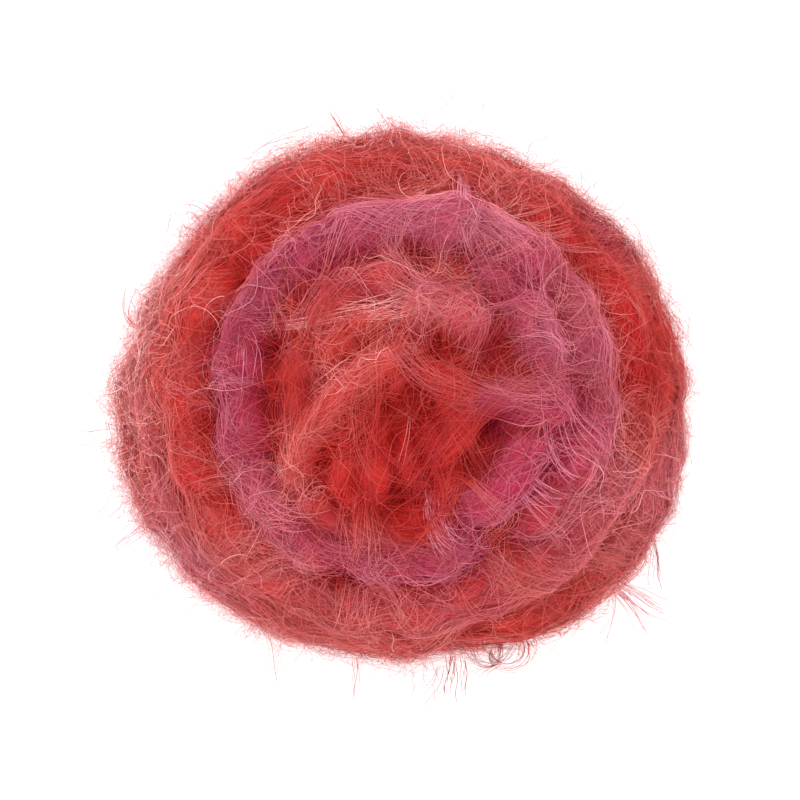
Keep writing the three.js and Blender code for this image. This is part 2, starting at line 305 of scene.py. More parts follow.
def sideDye(angle, i):
    # coral on the left, red on the right, with the lower loops and some streaks rosier
    rosy = sideDyes["lowLoopMore"] * max(0, sideDyes["lowLoops"] - i)
    for _, at, spread, amount in sideStreaks:
        aside = (np.degrees(angle) - at + 180) % 360 - 180
        rosy = rosy + amount * np.exp(-((aside / spread) ** 2))
    plain = sideDyes["mean"] - sideDyes["rightLess"] * np.cos(angle) - sideDyes["topLess"] * np.sin(angle)
    return np.clip(plain + rosy, 0, 1)


def loopTurn(latitude, tilt, phase, width, liftAt, i):
    steps = math.ceil(2 * math.pi * winding["radius"] / winding["step"])
    angle = 2 * math.pi * np.arange(steps + 1) / steps
    slant = np.radians(latitude + tilt * np.sin(angle + math.radians(phase)))
    return makeTurn(direction(slant, angle), liftAt(angle), width, sideDye(angle, i))


def lowerTurn(radius, start, width, i):
    sweep = math.radians(lowerArcSweep)
    angle = math.radians(start) + np.linspace(0, sweep, math.ceil(sweep * radius / winding["step"]))
    d = towards(radius * np.cos(angle), radius * np.sin(angle), lambda d: packedRadius(d) + width / 2)
    d = d * [1, 1, -1]
    return makeTurn(d, np.zeros(len(angle)), width, np.full(len(angle), lowerDyes[i]))


def softNoise(d, lengths, waves=40):
    # smooth lumps all over the ball, about 1 high, a wave of these lengths apart
    total = np.zeros(d.shape[:-1])
    for _ in range(waves):
        wave = unit(draw.normal(0, 1, 3)) * 2 * math.pi * winding["radius"] / draw.uniform(*lengths)
        total += np.sin(d @ wave + draw.uniform(0, 2 * math.pi))
    return total / math.sqrt(waves / 2)


def allTurns():
    turns = []
    for radius, arcs, start, width in lowerRings:
        turns += [lowerTurn(radius, start + 360 / arcs * i, width, i) for i in range(arcs)]
    s = sideTurns
    for i in range(s["count"]):
        latitude = s["lowest"] + (s["highest"] - s["lowest"]) * i / (s["count"] - 1)
        sway = lambda angle, i=i: s["sway"] * np.sin(angle + math.radians(i * s["phaseStep"] * 2))
        turns.append(loopTurn(latitude, s["tilt"], i * s["phaseStep"], s["width"], sway, i))
    c = crossings
    for i in range(c["count"]):
        lift = lambda angle: np.full_like(angle, c["lift"])
        turns.append(loopTurn(c["latitude"], c["tilt"], i * c["phaseStep"], c["width"], lift, i + 1))
    return turns + [upperTurn(row) for row in upperRows]


# The surface of the wound ball as a map over all directions from its centre: how far out it is, and the
# dye and heading of the strand that lies uppermost there. The map's own poles are on the ball's left and
# right, so that its cells are even over the upper end.

mapSize = {"around": 720, "down": 400}
blurPasses = {"strands": 3, "dye": 8, "draped": 40, "mean": 160}  # more passes even it over a wider place
search = {  # for the cells that a turn covers
    "nearest": 33,  # no strand lies nearer the centre than this
    "every": 5,  # of a turn's points, for the first rough look
    "margin": 0.1,  # radians, for what lies between those points
    "cellsAtOnce": 20000,
}


def mapDirection(latitude, longitude):
    return direction(latitude, longitude)[..., [2, 0, 1]]


def mapPlace(d, down, around):
    row = (0.5 - np.arcsin(np.clip(d[..., 0], -1, 1)) / np.pi) * down
    column = np.arctan2(d[..., 2], d[..., 1]) / (2 * np.pi) % 1 * around
    return row, column


def mapCells():
    down, around = mapSize["down"], mapSize["around"]
    latitude = np.pi / 2 - np.pi * (np.arange(down) + 0.5) / down
    longitude = 2 * np.pi * np.arange(around) / around
    return mapDirection(latitude[:, None], longitude[None, :]), np.cos(latitude)[:, None]


def windBall():
    cells = mapCells()[0].reshape(-1, 3)
    height = packedRadius(cells)
    dye = np.full(len(cells), winding["bareDye"])
    heading = unit(np.cross([0, 0, 1.0], cells))
    grain = np.zeros((len(cells), 3))
    for number, turn in enumerate(allTurns()):
        reach = turn["halfWidth"].max() / search["nearest"]  # the angle that half a strand covers
        coarse = (cells @ turn["d"][::search["every"]].T).max(axis=1)
        near = np.flatnonzero(coarse > math.cos(reach + search["margin"]))
        for part in np.array_split(near, max(1, len(near) // search["cellsAtOnce"])):
            dots = cells[part] @ turn["d"].T
            k = dots.argmax(axis=1)
            aside = np.arccos(np.clip(dots.max(axis=1), -1, 1)) * height[part] / turn["halfWidth"][k]
            across = np.maximum(0, 1 - aside ** 2) ** winding["roundness"]
            bulge = 2 * turn["halfWidth"][k] * winding["rise"] * across
            upper = np.where(aside < 1, turn["level"][k] + bulge, 0)
            below = height[part]
            over = upper > below
            touching = np.maximum(0, 1 - np.abs(upper - below) / winding["merge"])
            height[part] = np.maximum(upper, below) + winding["merge"] / 4 * touching ** 2
            at = part[over]
            dye[at] = turn["dye"][k[over]]
            heading[at] = turn["heading"][k[over]]
            side = np.cross(turn["heading"][k[over]], turn["d"][k[over]])
            across = (cells[at] * side).sum(axis=1) * height[at]
            apart = np.full(len(at), winding["grainStep"] * number)
            grain[at] = np.stack([turn["length"][k[over]], across, apart], axis=-1)
    height += winding["lump"] * softNoise(cells, winding["lumpLength"])
    height += winding["tuft"] * softNoise(cells, winding["tuftLength"])
    dye = np.clip(dye + winding["mottle"] * softNoise(cells, winding["lumpLength"]), 0, 1)
    shape = (mapSize["down"], mapSize["around"])
    return {"height": height.reshape(shape), "dye": dye.reshape(shape),
            "heading": heading.reshape(*shape, 3), "grain": grain.reshape(*shape, 3)}


def blurred(field, passes):
    # a small blur, repeated; narrow near the map's poles, where its cells are
    for _ in range(passes):
        field = (np.roll(field, 1, 1) + 2 * field + np.roll(field, -1, 1)) / 4
        padded = np.concatenate([field[:1], field, field[-1:]])
        field = (padded[:-2] + 2 * field + padded[2:]) / 4
    return field


def readMap(field, d):
    # the map's value in any direction, between its cells
    down, around = field.shape[:2]
    row, column = mapPlace(d, down, around)
    row = np.clip(row - 0.5, 0, down - 1.001)
    r, c = row.astype(int), column.astype(int)
    fr, fc = row - r, column - c
    c, c1 = c % around, (c + 1) % around
    return ((field[r, c] * (1 - fc) + field[r, c1] * fc) * (1 - fr)
            + (field[r + 1, c] * (1 - fc) + field[r + 1, c1] * fc) * fr)


def readNearest(field, d):
    down, around = field.shape[:2]
    row, column = mapPlace(d, down, around)
    return field[np.clip(row.astype(int), 0, down - 1), np.rint(column).astype(int) % around]


# Bands round the ball, each by the sines of the latitudes where it fades in and where it fades out
shoulderBand = ((0.05, 0.2), (0.65, 0.5))
rimBand = ((-0.7, -0.25), (0.5, 0.15))  # where loose fibres stand against the light
upperBand = (0.0, 0.3)  # fades in only


def bandShare(band, d):
    return smoothStep(*band[0], d[..., 2]) * smoothStep(*band[1], d[..., 2])


def felted(height):
    # the raised pile fills the dips between the strands, but for the crevices
    d, _ = mapCells()
    wide = blurred(height, blurPasses["mean"])
    opened = np.clip(spots(crevices, d[..., 0] * wide, d[..., 1] * wide), 0, 1)
    opened = smoothStep(*upperBand, d[..., 2]) * opened
    shoulder = bandShare(shoulderBand, d)
    limit = winding["felting"] + shoulder * (winding["shoulderFelting"] - winding["felting"])
    limit = limit + opened * winding["creviceFelting"]
    dip = wide - height
    dip = np.where(dip > 0, limit * np.tanh(dip / limit), dip)
    return wide - dip - opened * winding["creviceDepth"]


ball = windBall()
ball["height"] = blurred(felted(blurred(ball["height"], blurPasses["strands"])), blurPasses["strands"])
ball["draped"] = blurred(ball["height"], blurPasses["draped"])  # where a fibre lies that bridges the dips
ball["dip"] = blurred(ball["height"], blurPasses["mean"]) - ball["height"]  # how deep each place lies
print("dips run from", [round(float(v), 1) for v in np.percentile(ball["dip"], (1, 25, 50, 75, 99))])
ball["dyeSoft"] = blurred(ball["dye"], blurPasses["dye"])
print("wound", len(upperRows), "arcs on the upper end")


def toSpace(d, radius):
    points = d * radius[..., None]
    points[..., 2] += winding["centreHeight"]
    return points


# Where pale loose fibres lie thick on the upper end (above 0) and where the dyed wool shows bare (below 0);
# the amounts are partly painted light and shade, higher where the upper end is lit, as on its left, and lower
# where it lies in shade
frostAndLightSpots = [
    # name, x, y, radius, amount
    ("core", 1, -13, 14, -0.8),
    ("core right", 10, -4, 8, -0.5),
    ("outer red, right", 48, 4, 9, -0.6),
    ("outer red, upper right", 38, 27, 9, -0.6),
    ("outer red, top left", -25, 38, 10, -0.3),
    ("outer red, left", -37, 8, 5, -0.4),
    ("pink top, right", 15, 36, 8, 0.6),
    ("left band", -42, 18, 6, 0.8),
    ("low left", -38, -24, 6, 0.5),
    ("outer coral, left", -46, 10, 8, 0.4),
    ("outer coral, low left", -46, -4, 8, 0.2),
    ("outer red, lower left", -38, -16, 5, -0.5),
    ("inner left", -19, 3, 7, -1.0),
    ("inner top, left", -12, 18, 7, -0.9),
    ("lower left", -40, -31, 8, 0.4),
    ("low left ring", -24, -27, 8, 0.2),
    ("lower right", 33, -30, 10, 0.1),
    ("right, low", 47, -15, 8, 2.0),
    ("right, rose", 34, 14, 9, 0.7),
    ("bottom", -4, -49, 10, -0.1),
    ("low right coral", 24, -40, 8, -0.3),
    ("upper right rim", 43, 33, 6, 0.7),
    ("pink top", 13, 32, 8, 1.3),
    ("top rim", 10, 51, 6, 0.6),
    ("ring top", -9, 34, 6, 0.3),
    ("crossing strand", -13, 1, 4.5, 0.5),
    ("crossing strand, lower", -21, -12, 4.5, 0.4),
    ("left of the crossing", -20, -1, 4, -0.9),
    ("inner top", 1, 15, 6, 0.5),
]


paintedCreviceShade = 0.9  # painted shade: how far the crevices stay free of pale fibres, and so darker


# pale fibres, partly painted light and shade, and less of them in the crevices
def frostAndPaintedLight(x, y):
    return spots(frostAndLightSpots, x, y) - paintedCreviceShade * spots(crevices, x, y)


# The packed turns: the strands themselves, without their long fibres

packedTurns = {
    "name": "packedTurns",
    "around": 280,
    "upperRows": 116, "upperReach": -20,  # rows of faces from the upper pole down to this latitude
    "lowerRows": 30,
    "lastRow": 89.7,  # the latitude of the rows beside the poles
    "lowest": 0.0,
    "rimDepth": 0.4,  # below the fibres, round the ball's widest part
    "frostAndPaintedLight": 0.12, "rimPaintedLight": 0.08, "frostLimits": (-0.2, 0.6),  # what the pale fibres add to the felt, partly painted light and shade; round the rim it is painted light
}
shadeDips = (-1.0, 2.6)  # from the crests, with no shade, to the bottoms of the grooves, with all of it


def newMesh(name, vertices, faces, material, corners):
    mesh = bpy.data.meshes.new(name)
    mesh.vertices.add(len(vertices))
    mesh.vertices.foreach_set("co", (vertices * millimetre).astype(np.float32).ravel())
    mesh.loops.add(len(faces) * corners)
    mesh.loops.foreach_set("vertex_index", faces.astype(np.int32).ravel())
    mesh.polygons.add(len(faces))
    mesh.polygons.foreach_set("loop_start", np.arange(0, len(faces) * corners, corners, dtype=np.int32))
    mesh.polygons.foreach_set("use_smooth", np.ones(len(faces), dtype=bool))
    mesh.update(calc_edges=True)
    mesh.materials.append(material)
    piece = bpy.data.objects.new(name, mesh)
    bpy.context.scene.collection.objects.link(piece)
    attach(piece, "root")
    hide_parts("yarn_ball")
    return piece


def shade(dip):
    return smoothStep(*shadeDips, dip)


def addFloatAttribute(piece, name, values):
    attribute = piece.data.attributes.new(name, "FLOAT", "POINT")
    attribute.data.foreach_set("value", values.astype(np.float32))


def brushedPile():
    # brushed wool and mohair, dyed in the yarn: a matt felt of fine fibres, which traps its own gloss
    material, tree, shader = newMaterial(
        "brushed wool, dyed in the yarn", Roughness=0.9, IOR=keratin, Specular_IOR_Level=0.0,
        Sheen_Weight=0.02, Sheen_Roughness=0.5)
    place = addNode(tree, "ShaderNodeTexCoord").outputs["Object"]
    dye, depth, frostAndLight = (
        addNode(tree, "ShaderNodeAttribute", {"attribute_name": name}).outputs["Fac"]
        for name in ("dye", "depth", "frostAndPaintedLight"))
    grain = addNode(tree, "ShaderNodeAttribute", {"attribute_name": "grain"}).outputs["Vector"]
    # locks about 1.5 mm wide and 10 mm long that follow the strand, and the fibres in them drawn at 0.3 mm,
    # coarser than the real 0.03, with felted tangles about 1.5 mm across over both
    along = addNode(tree, "ShaderNodeVectorMath", {"operation": "MULTIPLY"}, {0: grain, 1: (0.1, 0.65, 1.0)})
    locks, fibres, tangles = (
        addNode(tree, "ShaderNodeTexNoise", Vector=at, Scale=scale, Detail=detail,
                Distortion=distortion).outputs["Fac"]
        for at, scale, detail, distortion in (
            (along.outputs[0], 1.0, 2.0, 0.6), (along.outputs[0], 5.0, 2.0, 0.8), (place, 650.0, 3.0, 1.2)))
    streaks = addNode(tree, "ShaderNodeMath", {"operation": "ADD"}, {0: fibres, 1: locks}).outputs[0]
    mixed = addNode(tree, "ShaderNodeMath", {"operation": "MULTIPLY_ADD"}, {0: tangles, 1: 0.5, 2: streaks})
    streaked = addNode(tree, "ShaderNodeMapRange", Value=mixed.outputs[0], From_Min=1.2, From_Max=1.7,
                       To_Min=0.0, To_Max=0.4)
    # the pale share comes from the streaks and from the frost, which is partly painted light and shade
    paleness = addNode(tree, "ShaderNodeMath", {"operation": "ADD", "use_clamp": True},
                       {0: streaked.outputs[0], 1: frostAndLight})
    deep = colourRamp(tree, dye, deepDye)
    pale = colourRamp(tree, dye, paleDyeAndSheen)
    lit = mixColours(tree, "MIX", paleness.outputs[0], deep, pale)
    # painted shade: the deeper a place lies in the dips, the more its colour is darkened by the groove colour
    colourBy(tree, shader, mixColours(tree, "MULTIPLY", depth, lit, linear(paintedGrooveShade)))
    bump = addNode(tree, "ShaderNodeBump", Height=mixed.outputs[0], Strength=0.5, Distance=0.0004)
    tree.links.new(bump.outputs["Normal"], shader.inputs["Normal"])
    return material


def makePackedTurns():
    p = packedTurns
    upper = np.linspace(90, p["upperReach"], p["upperRows"] + 1)
    lower = np.linspace(p["upperReach"], -90, p["lowerRows"] + 1)[1:]
    latitude = np.radians(np.clip(np.concatenate([upper, lower]), -p["lastRow"], p["lastRow"]))
    longitude = 2 * np.pi * np.arange(p["around"]) / p["around"]
    d = direction(latitude[:, None], longitude[None, :])
    points = toSpace(d, readMap(ball["height"], d) - p["rimDepth"] * bandShare(rimBand, d))
    points[..., 2] = np.maximum(points[..., 2], p["lowest"])
    rows, around = points.shape[:2]
    index = np.arange(rows * around).reshape(rows, around)
    right = np.roll(index, -1, axis=1)
    a, b, c, e = index[:-1], index[1:], right[1:], right[:-1]
    faces = np.concatenate([np.stack([a, b, c], -1).reshape(-1, 3), np.stack([a, c, e], -1).reshape(-1, 3)])
    vertices = points.reshape(-1, 3)
    poles = np.array([vertices[:around].mean(axis=0), vertices[-around:].mean(axis=0)])
    top, bottom = len(vertices), len(vertices) + 1
    upperFan = np.stack([np.full(around, top), index[0], right[0]], -1)
    lowerFan = np.stack([np.full(around, bottom), right[-1], index[-1]], -1)
    faces = np.concatenate([faces, upperFan, lowerFan])
    vertices = np.concatenate([vertices, poles])
    piece = newMesh(p["name"], vertices, faces, brushedPile(), 3)
    d = np.concatenate([d.reshape(-1, 3), [[0, 0, 1], [0, 0, -1]]])
    addFloatAttribute(piece, "dye", readMap(ball["dyeSoft"], d))
    # painted shade of the dips, which the material darkens the colour by
    addFloatAttribute(piece, "depth", shade(readMap(ball["dip"], d)))
    radius = readMap(ball["height"], d)
    # pale fibres on the upper end, partly painted light and shade
    frostAndLight = p["frostAndPaintedLight"] * smoothStep(*upperBand, d[:, 2]) * frostAndPaintedLight(d[:, 0] * radius, d[:, 1] * radius)
    # painted light: the felt is paler round the widest part, as if lit through its loose fibres
    frostAndLight = frostAndLight + p["rimPaintedLight"] * bandShare(rimBand, d)
    addFloatAttribute(piece, "frostAndPaintedLight", np.clip(frostAndLight, *p["frostLimits"]))
    grain = piece.data.attributes.new("grain", "FLOAT_VECTOR", "POINT")
    grain.data.foreach_set("vector", readNearest(ball["grain"], d).astype(np.float32).ravel())
    print("packed turns:", len(faces), "faces")
    return piece


makePackedTurns()


# The fibres that the brush raised. Each walks over the ball from its root, turned by its own curl and drawn
# along the strand it lies on. Kinds run from the pile that lies close to the loose halo. They are drawn 0.055
# to 0.12 wide, coarser than the real 0.03.

fibreKinds = {
    "lyingPile": {
        "locks": 3300, "perLock": 3, "steps": 8, "length": (9, 20), "width": 0.12,
        "reach": "all", "stray": 12, "curl": 0.095, "curlLength": 9, "hold": 0.12, "spread": 1.2,
        "splay": 0.06, "bridge": 0.05, "lift": (0.05, 0.3), "arch": 0.25, "tipRise": 0.2,
        "loft": 0.0, "pale": (-0.08, 0.40), "frosty": 0.1,
    },
    "flowingLocks": {
        "locks": 760, "perLock": 13, "steps": 12, "length": (11, 26), "width": 0.07,
        "reach": "all", "stray": 18, "curl": 0.135, "curlLength": 11, "hold": 0.02, "spread": 0.8,
        "splay": 0.10, "bridge": 0.35, "lift": (0.2, 0.9), "arch": 0.5, "tipRise": 0.5,
        "loft": 0.15, "pale": (0.05, 0.45), "frosty": 0.6,
    },
    "sweptWisps": {
        "locks": 130, "perLock": 30, "steps": 12, "length": (12, 26), "width": 0.07,
        "reach": "all", "stray": 18, "curl": 0.08, "curlLength": 18, "hold": 0.03, "spread": 1.5,
        "splay": 0.08, "bridge": 0.5, "lift": (0.2, 0.8), "arch": 0.5, "tipRise": 0.4,
        "loft": 0.1, "pale": (0.10, 0.50), "frosty": 0.9,
    },
    "hookedLocks": {
        "locks": 220, "perLock": 8, "steps": 14, "length": (9, 18), "width": 0.065,
        "reach": "all", "stray": 50, "curl": 0.459, "curlLength": 24, "hold": 0.0, "spread": 0.5,
        "splay": 0.14, "bridge": 0.4, "lift": (0.3, 1.0), "arch": 0.6, "tipRise": 0.8,
        "loft": 0.2, "pale": (0.15, 0.55), "frosty": 0.8,
    },
    "crossedFibres": {
        "locks": 1300, "perLock": 1, "steps": 18, "length": (12, 28), "width": 0.07,
        "reach": "all", "stray": 60, "curl": 0.297, "curlLength": 11, "hold": 0.0, "spread": 0.5,
        "splay": 0.1, "bridge": 0.35, "lift": (0.3, 1.3), "arch": 0.7, "tipRise": 0.8,
        "loft": 0.3, "pale": (0.15, 0.60), "frosty": 0.8,
    },
    "shortFuzz": {
        "locks": 3600, "perLock": 1, "steps": 7, "length": (3, 8), "width": 0.07,
        "reach": "all", "stray": 180, "curl": 0.34, "curlLength": 7, "hold": 0.0, "spread": 0.5,
        "splay": 0.1, "bridge": 0.1, "lift": (0.1, 0.6), "arch": 0.5, "tipRise": 1.3,
        "loft": 0.3, "pale": (0.10, 0.50), "frosty": 0.5,
    },
    "rimFuzz": {
        "locks": 4600, "perLock": 1, "steps": 8, "length": (7, 16), "width": 0.055,
        "reach": "rim", "stray": 65, "curl": 0.48, "curlLength": 7, "hold": 0.0, "spread": 0.5,
        "splay": 0.1, "bridge": 0.3, "lift": (0.1, 0.7), "arch": 0.7, "tipRise": 1.3,
        "loft": 0.7, "pale": (0.25, 0.75), "frosty": 0.2,
    },
    "looseHalo": {
        "locks": 950, "perLock": 3, "steps": 14, "length": (12, 28), "width": 0.055,
        "reach": "rim", "stray": 50, "curl": 0.4, "curlLength": 11, "hold": 0.0, "spread": 1.2,
        "splay": 0.3, "bridge": 0.4, "lift": (0.2, 0.8), "arch": 0.8, "tipRise": 2.4,
        "loft": 1.0, "pale": (0.20, 0.75), "frosty": 0.2,
    },
}
habits = {  # what all the kinds share
    "wander": 0.6, "mostWander": 1.5,  # of a lock from its strand's heading, in shares of the kind's stray
    "ownLength": (0.85, 1.1), "ownLift": (0.7, 1.3), "ownArch": (0.2, 1.4),  # in shares of the kind's
    "bend": 0.6, "wobble": 0.35,  # in shares of the kind's curl
    "ownBend": 0.12,  # in shares of the kind's splay
    "swingLength": (0.6, 1.5),  # in shares of the kind's curlLength
    "wobbleLength": 6, "loftLength": (10, 22),
    "tip": 1.6,  # the most of the kind's tipRise
    "liftedAt": 0.2, "loftedAt": 0.5,  # shares of the length by which a fibre is up
    "clear": 0.1,  # over the strands
    "evenings": 2, "mostDrop": 0.25,  # a fibre bridges the dips, so its heights are evened along it
    "mingling": 0.045,  # how far off its root its dye is read: about 2 mm, so the stripes run together
}
rootFrostBand = (0.0, 0.4)  # the sines of the latitudes over which frost begins to draw roots
rootLimits = (0.08, 2)  # the least and the most that frost makes of the roots' number
reaches = {  # how thickly the roots stand, by the sine of the latitude
    "all": ((-0.7, -0.25, 0.25, 0.6), (0.3, 0.75, 0.75, 1.0)),
    "rim": ((-0.7, -0.25, 0.15, 0.4), (0.1, 1.0, 1.0, 0.12)),
}

haloLean = {"heading": 160, "amount": 0.45, "raise": 0.4}  # the loose halo is thickest on this side


def haloShare(d):
    aside = np.arctan2(d[..., 1], d[..., 0]) - math.radians(haloLean["heading"])
    return 1 + haloLean["amount"] * np.cos(aside)


def rootsOnBall(count, kind):
    # places by area, fewer towards the lower end, which is seldom seen
    height = ball["height"]
    down, around = height.shape
    d, breadth = mapCells()
    share = np.interp(d[..., 2], *reaches[kind["reach"]])
    frostAndLight = smoothStep(*rootFrostBand, d[..., 2]) * frostAndPaintedLight(d[..., 0] * height, d[..., 1] * height)
    weight = height ** 2 * breadth * share * np.clip(1 + kind["frosty"] * frostAndLight, *rootLimits)
    if kind["reach"] == "rim":
        weight = weight * haloShare(d)
    cells = draw.choice(weight.size, size=count, p=(weight / weight.sum()).ravel())
    row = cells // around + draw.uniform(0, 1, count)
    column = cells % around + draw.uniform(-0.5, 0.5, count)
    return mapDirection(np.pi / 2 - np.pi * row / down, 2 * np.pi * column / around)


def turned(heading, d, angle):
    # the heading turned about the outward direction
    return heading * np.cos(angle)[:, None] + np.cross(d, heading) * np.sin(angle)[:, None]


def walk(kind):
    # the paths of a kind's fibres, as directions and heights, one row per fibre
    locks, each = kind["locks"], kind["perLock"]
    most = habits["mostWander"]
    shared = lambda low, high: np.repeat(draw.uniform(low, high, locks), each)
    count = locks * each
    root = np.repeat(rootsOnBall(locks, kind), each, axis=0)
    own = draw.normal(0, 1, (count, 3)) * kind["spread"] / winding["radius"]
    d = unit(root + own)
    strand = unit(readNearest(ball["heading"], d))
    side = np.repeat(draw.choice([-1, 1], locks), each)[:, None]
    wander = np.repeat(draw.normal(0, habits["wander"], locks), each)
    stray = np.radians(kind["stray"]) * np.clip(wander, -most, most)
    heading = unit(turned(strand * side, d, stray + draw.normal(0, kind["splay"], count)))
    length = shared(*kind["length"]) * draw.uniform(*habits["ownLength"], count)
    step = length / kind["steps"]
    bend = np.repeat(draw.normal(0, kind["curl"] * habits["bend"], locks), each)
    swing = np.repeat(draw.normal(0, kind["curl"], locks), each)
    swingPhase = shared(0, 2 * math.pi)
    swingLength = kind["curlLength"] * shared(*habits["swingLength"])
    wobble = draw.normal(0, kind["curl"] * habits["wobble"], count)
    bend = bend + draw.normal(0, kind["splay"] * habits["ownBend"], count)
    loftLength = draw.uniform(*habits["loftLength"], count)
    wobblePhase = draw.uniform(0, 2 * math.pi, count)
    lift = shared(*kind["lift"]) * draw.uniform(*habits["ownLift"], count)
    arch = kind["arch"] * draw.uniform(*habits["ownArch"], count)
    tip = kind["tipRise"] * draw.uniform(0, 1, count) ** 2 * habits["tip"]
    raised = 1 + haloLean["raise"] * bandShare(rimBand, d) * haloShare(d)
    ds, radii, dyes, paintedShades = [], [], [], []
    rootDye = readNearest(ball["dye"], unit(root + draw.normal(0, habits["mingling"], root.shape)))
    for i in range(kind["steps"] + 1):
        t = i / kind["steps"]
        s = step * i
        h = readMap(ball["height"], d)
        draped = readMap(ball["draped"], d)
        out = lift * min(1, t / habits["liftedAt"]) + arch * math.sin(math.pi * t) + tip * t * t
        wave = 1 + np.sin(2 * math.pi * s / loftLength + swingPhase)
        out += kind["loft"] * min(1, t / habits["loftedAt"]) * wave
        out *= raised
        radii.append(np.maximum(h + habits["clear"], h + (draped - h) * kind["bridge"]) + out)
        ds.append(d)
        dyes.append((rootDye + readMap(ball["dyeSoft"], d)) / 2)
        # painted shade: a fibre low in the dips is darkened, less so the higher it stands over the surface
        paintedShades.append(shade(readMap(ball["dip"], d) - (radii[-1] - h)))
        curve = bend + swing * np.sin(2 * math.pi * s / swingLength + swingPhase)
        curve += wobble * np.sin(2 * math.pi * s / habits["wobbleLength"] + wobblePhase)
        strand = readNearest(ball["heading"], d)
        strand *= np.sign((strand * heading).sum(axis=1) + 1e-9)[:, None]
        heading = unit(turned(heading, d, curve * step) + strand * (kind["hold"] * step)[:, None])
        d = unit(d + heading * (step / radii[-1])[:, None])
        heading = unit(heading - d * (heading * d).sum(axis=1, keepdims=True))
    radii = np.stack(radii, axis=1)
    for _ in range(habits["evenings"]):
        inner = (radii[:, :-2] + 2 * radii[:, 1:-1] + radii[:, 2:]) / 4
        radii[:, 1:-1] = np.maximum(inner, radii[:, 1:-1] - habits["mostDrop"])
    return toSpace(np.stack(ds, axis=1), radii), np.stack(dyes, axis=1), np.stack(paintedShades, axis=1)


ribbon = {
    "roll": 0.6, "twist": 0.8,  # radians either way
    "rootTaper": (6, 0.35), "tipTaper": (3, 0.25),  # how fast it widens from an end, and its width there
    "ownWidth": (0.7, 1.25),
}


def ribbons(points, width):
    # a narrow ribbon along each row of points, tapered at both ends and slowly twisting
    r = ribbon
    count, steps = points.shape[:2]
    t = np.linspace(0, 1, steps)
    tangent = unit(np.gradient(points, axis=1))
    side = unit(np.cross(tangent, unit(points - [0, 0, winding["centreHeight"]])))
    face = np.cross(side, tangent)
    roll = draw.uniform(-r["roll"], r["roll"], (count, 1))
    roll = roll + draw.uniform(-r["twist"], r["twist"], (count, 1)) * t
    side = side * np.cos(roll)[..., None] + face * np.sin(roll)[..., None]
    taper = np.minimum(1, t * r["rootTaper"][0] + r["rootTaper"][1])
    taper = taper * np.minimum(1, (1 - t) * r["tipTaper"][0] + r["tipTaper"][1])
    half = (width * draw.uniform(*r["ownWidth"], (count, 1)) * taper / 2)[..., None]
    return np.stack([points - side * half, points + side * half], axis=2)


def fibreMaterial():
    # single brushed fibres of wool and mohair: matt, with a faint silky sheen, and paler towards the tip,
    # where less dye lies over less fibre, and partly as painted sheen and light through the thin fibres
    material, tree, shader = newMaterial(
        "brushed mohair fibres, dyed in the yarn", Roughness=0.65, IOR=keratin, Specular_IOR_Level=0.02,
        Sheen_Weight=0.04, Sheen_Roughness=0.4)
    chart = addNode(tree, "ShaderNodeUVMap", {"uv_map": "OFBake"}).outputs["UV"]
    split = addNode(tree, "ShaderNodeSeparateXYZ", Vector=chart)
    deep = colourRamp(tree, split.outputs["X"], deepDye)
    pale = colourRamp(tree, split.outputs["X"], paleDyeAndSheen)
    shadow, lightness, palestShare = (
        addNode(tree, "ShaderNodeMapRange", Value=split.outputs["Y"], From_Min=low, From_Max=high,
                To_Min=atLow, To_Max=1.0 - atLow).outputs[0]
        for low, high, atLow in (
            (0.0, plainPaleness, 1.0), (plainPaleness, palestTipFrom, 0.0), (palestTipFrom, 1.0, 0.0)))
    mixed = mixColours(tree, "MIX", lightness, deep, pale)
    mixed = mixColours(tree, "MIX", palestShare, mixed, linear(palestTipAndGlow))
    # painted shade: a fibre below the plain paleness darkens towards the groove colour
    colourBy(tree, shader, mixColours(tree, "MULTIPLY", shadow, mixed, linear(paintedGrooveShade)))
    return material


chartInset = 0.01  # the chart keeps this far from its own edges
chartWidth = 0.006  # of one fibre across, so that a bake gives each face some area
lowestFibre = 0.25  # nothing lies nearer the surface that the ball stands on


def makeFibres(name, points, dye, pale, width, material):
    points[..., 2] = np.maximum(points[..., 2], lowestFibre)
    count, steps = points.shape[:2]
    vertices = ribbons(points, width).reshape(-1, 3)
    first = np.arange(count)[:, None] * steps * 2 + np.arange(steps - 1)[None, :] * 2
    faces = np.stack([first, first + 1, first + 3, first + 2], axis=-1).reshape(-1, 4)
    piece = newMesh(name, vertices, faces, material, 4)
    v = np.clip(pale + chartWidth * np.linspace(0, 1, steps), chartInset, 1 - chartInset)
    u = chartInset + (1 - 2 * chartInset - chartWidth) * dye
    chart = np.stack([np.stack([u, v], -1), np.stack([u + chartWidth, v], -1)], axis=2).reshape(-1, 2)
    layer = piece.data.uv_layers.new(name="OFBake")
    layer.data.foreach_set("uv", chart[faces.ravel()].astype(np.float32).ravel())
    print(name + ":", count, "fibres,", len(faces) * 2, "triangles")
    return piece


mostTriangles = 190000  # in one piece
paling = {
    "own": (0.7, 1.2), "alongIt": (0.6, 1.2),  # of a fibre, and from its root to its tip
    "frostAndPaintedLight": 0.8, "frostLimits": (0.1, 1.3),
    "depth": 0.35,  # painted shade: what the bottom of a groove takes away
    "ownDye": 0.05,
}


